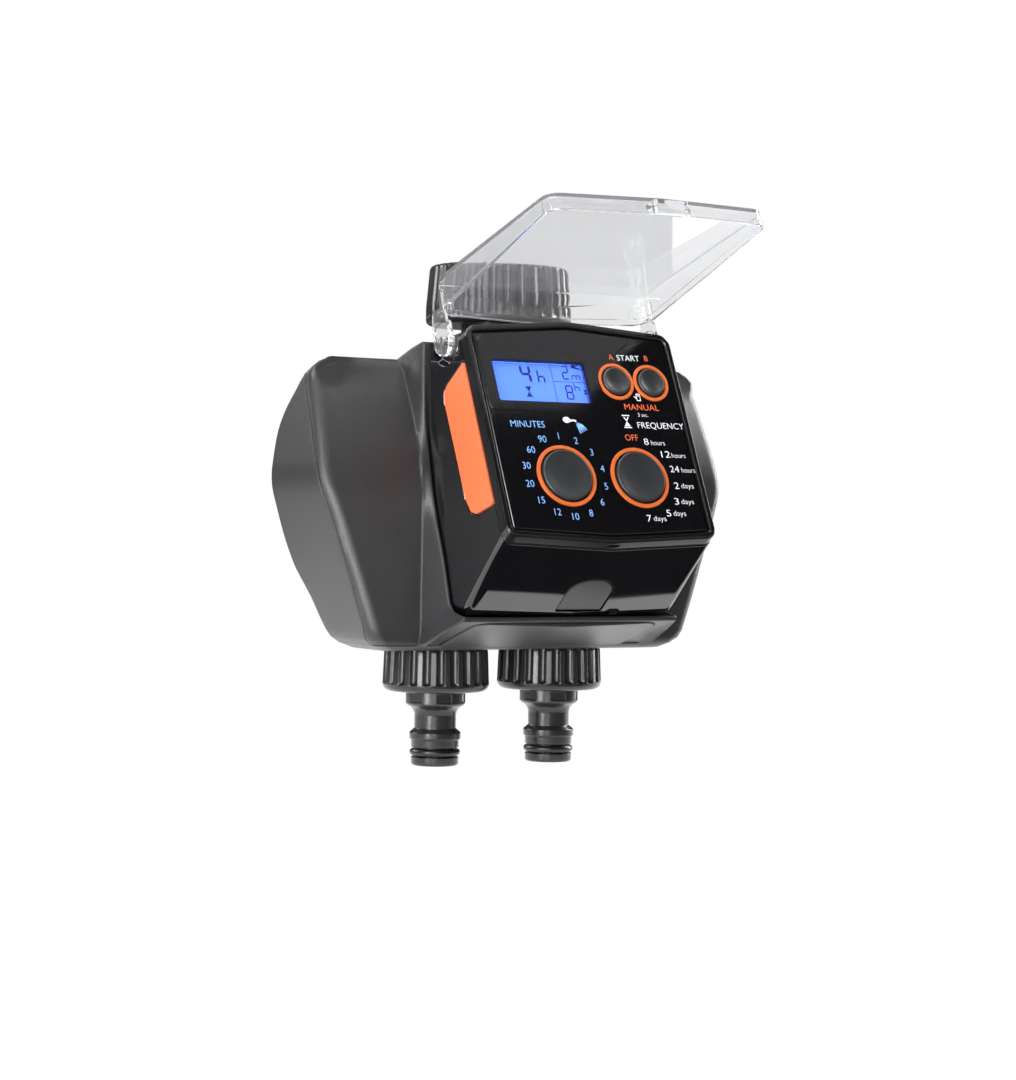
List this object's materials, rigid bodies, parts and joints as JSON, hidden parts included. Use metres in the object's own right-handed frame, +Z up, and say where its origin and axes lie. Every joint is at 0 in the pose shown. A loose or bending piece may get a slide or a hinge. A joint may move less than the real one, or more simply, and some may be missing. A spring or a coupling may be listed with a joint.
{
  "type": "drip irrigation timer",
  "caption": "Battery water timer: dark body under a tap nut, sliding console with dials, start buttons, display and clear lid, solenoid valves and quick-connect outlets.",
  "frame": {"origin": "on the inlet axis at the mouth of the inlet nut, where the tap's thread enters", "axes": "+Z up along the inlet axis, the way the unit hangs from a tap; -Y towards the side with the control panel; +X to the right of someone facing the panel"},
  "size_m": [0.1526, 0.1394, 0.1806],
  "materials": {
    "dark_plastic": "fine spark-eroded texture, matte",
    "gloss_black": "smooth gloss",
    "black_plastic": "plain moulded",
    "satin_plastic": "satin moulded",
    "orange_plastic": "smooth",
    "light_plastic": "natural moulded",
    "rubber": "soft",
    "steel": "bright",
    "brass": "bright",
    "winding": "taped winding",
    "lead": "insulated lead",
    "board": "solder mask",
    "display": "lit liquid crystal display",
    "window": "clear window",
    "clear": "clear moulding",
    "battery": "printed sleeve, plain"
  },
  "bodies": {
    "body": {"rear_shell": "dark_plastic", "front_shell": "dark_plastic", "shell_screws": "steel", "manifold": "light_plastic", "manifold_screws": "steel", "inlet_tailpiece": "light_plastic", "inlet_washer": "rubber", "inlet_filter": "light_plastic", "valve_bonnet_a": "light_plastic", "valve_bonnet_b": "light_plastic", "diaphragm_a": "rubber", "diaphragm_b": "rubber", "bonnet_screws": "steel", "coil_a": "winding", "coil_b": "winding", "plunger_spring_a": "steel", "plunger_spring_b": "steel", "hose_adaptor_a": "satin_plastic", "hose_adaptor_b": "satin_plastic", "adaptor_washers": "rubber", "nipple_orings": "rubber", "valve_contacts": "brass", "coil_leads": "lead"},
    "inlet_nut": {"inlet_nut": "satin_plastic"},
    "console": {"console_shell": "gloss_black", "console_back": "black_plastic", "console_screws": "steel", "console_seal": "rubber", "bezel": "gloss_black", "control_panel": "gloss_black", "lcd_window": "window", "lcd_glass": "display", "backlight": "light_plastic", "circuit_board": "board", "rotary_switches": "black_plastic", "tact_switches": "steel", "dial_rings": "orange_plastic", "button_rings": "orange_plastic", "side_badges": "orange_plastic", "lid_pins": "steel", "contact_pads": "brass", "battery": "battery", "battery_snap": "black_plastic", "battery_leads": "lead"},
    "lid": {"lid": "clear"},
    "minutes_dial": {"dial_minutes": "dark_plastic", "dial_minutes_shaft": "light_plastic"},
    "frequency_dial": {"dial_frequency": "dark_plastic", "dial_frequency_shaft": "light_plastic"},
    "start_button_a": {"start_button_a": "dark_plastic"},
    "start_button_b": {"start_button_b": "dark_plastic"},
    "release_tab": {"release_tab": "dark_plastic"},
    "plunger_a": {"plunger_a": "steel"},
    "plunger_b": {"plunger_b": "steel"}
  },
  "joints": [
    {"name": "inlet_nut_swivel", "type": "hinge", "parent": "body", "child": "inlet_nut", "pos_m": [0, 0, -0.01], "axis": [0, 0, 1], "continuous": true},
    {"name": "console_release", "type": "slide", "parent": "body", "child": "console", "axis": [0, -1, 0], "range_m": [0, 0.045]},
    {"name": "lid_hinge", "type": "hinge", "parent": "console", "child": "lid", "pos_m": [0, -0.03461, -0.02834], "axis": [1, 0, 0], "range_deg": [0, 86]},
    {"name": "minutes_dial_turn", "type": "hinge", "parent": "console", "child": "minutes_dial", "pos_m": [-0.0126, -0.06921, -0.07109], "axis": [0, -0.9056, 0.4242], "continuous": true},
    {"name": "frequency_dial_turn", "type": "hinge", "parent": "console", "child": "frequency_dial", "pos_m": [0.0144, -0.06925, -0.07119], "axis": [0, -0.9056, 0.4242], "range_deg": [-154.3, 25.7]},
    {"name": "start_button_a_press", "type": "slide", "parent": "console", "child": "start_button_a", "axis": [0, 0.9056, -0.4242], "range_m": [0, 0.001]},
    {"name": "start_button_b_press", "type": "slide", "parent": "console", "child": "start_button_b", "axis": [0, 0.9056, -0.4242], "range_m": [0, 0.001]},
    {"name": "release_tab_press", "type": "slide", "parent": "console", "child": "release_tab", "axis": [0, 0.6455, 0.7638], "range_m": [0, 0.0015]},
    {"name": "plunger_a_lift", "type": "slide", "parent": "body", "child": "plunger_a", "axis": [0, 0, 1], "range_m": [0, 0.0015], "deforming": ["plunger_spring_a"]},
    {"name": "plunger_b_lift", "type": "slide", "parent": "body", "child": "plunger_b", "axis": [0, 0, 1], "range_m": [0, 0.0015], "deforming": ["plunger_spring_b"]}
  ]
}
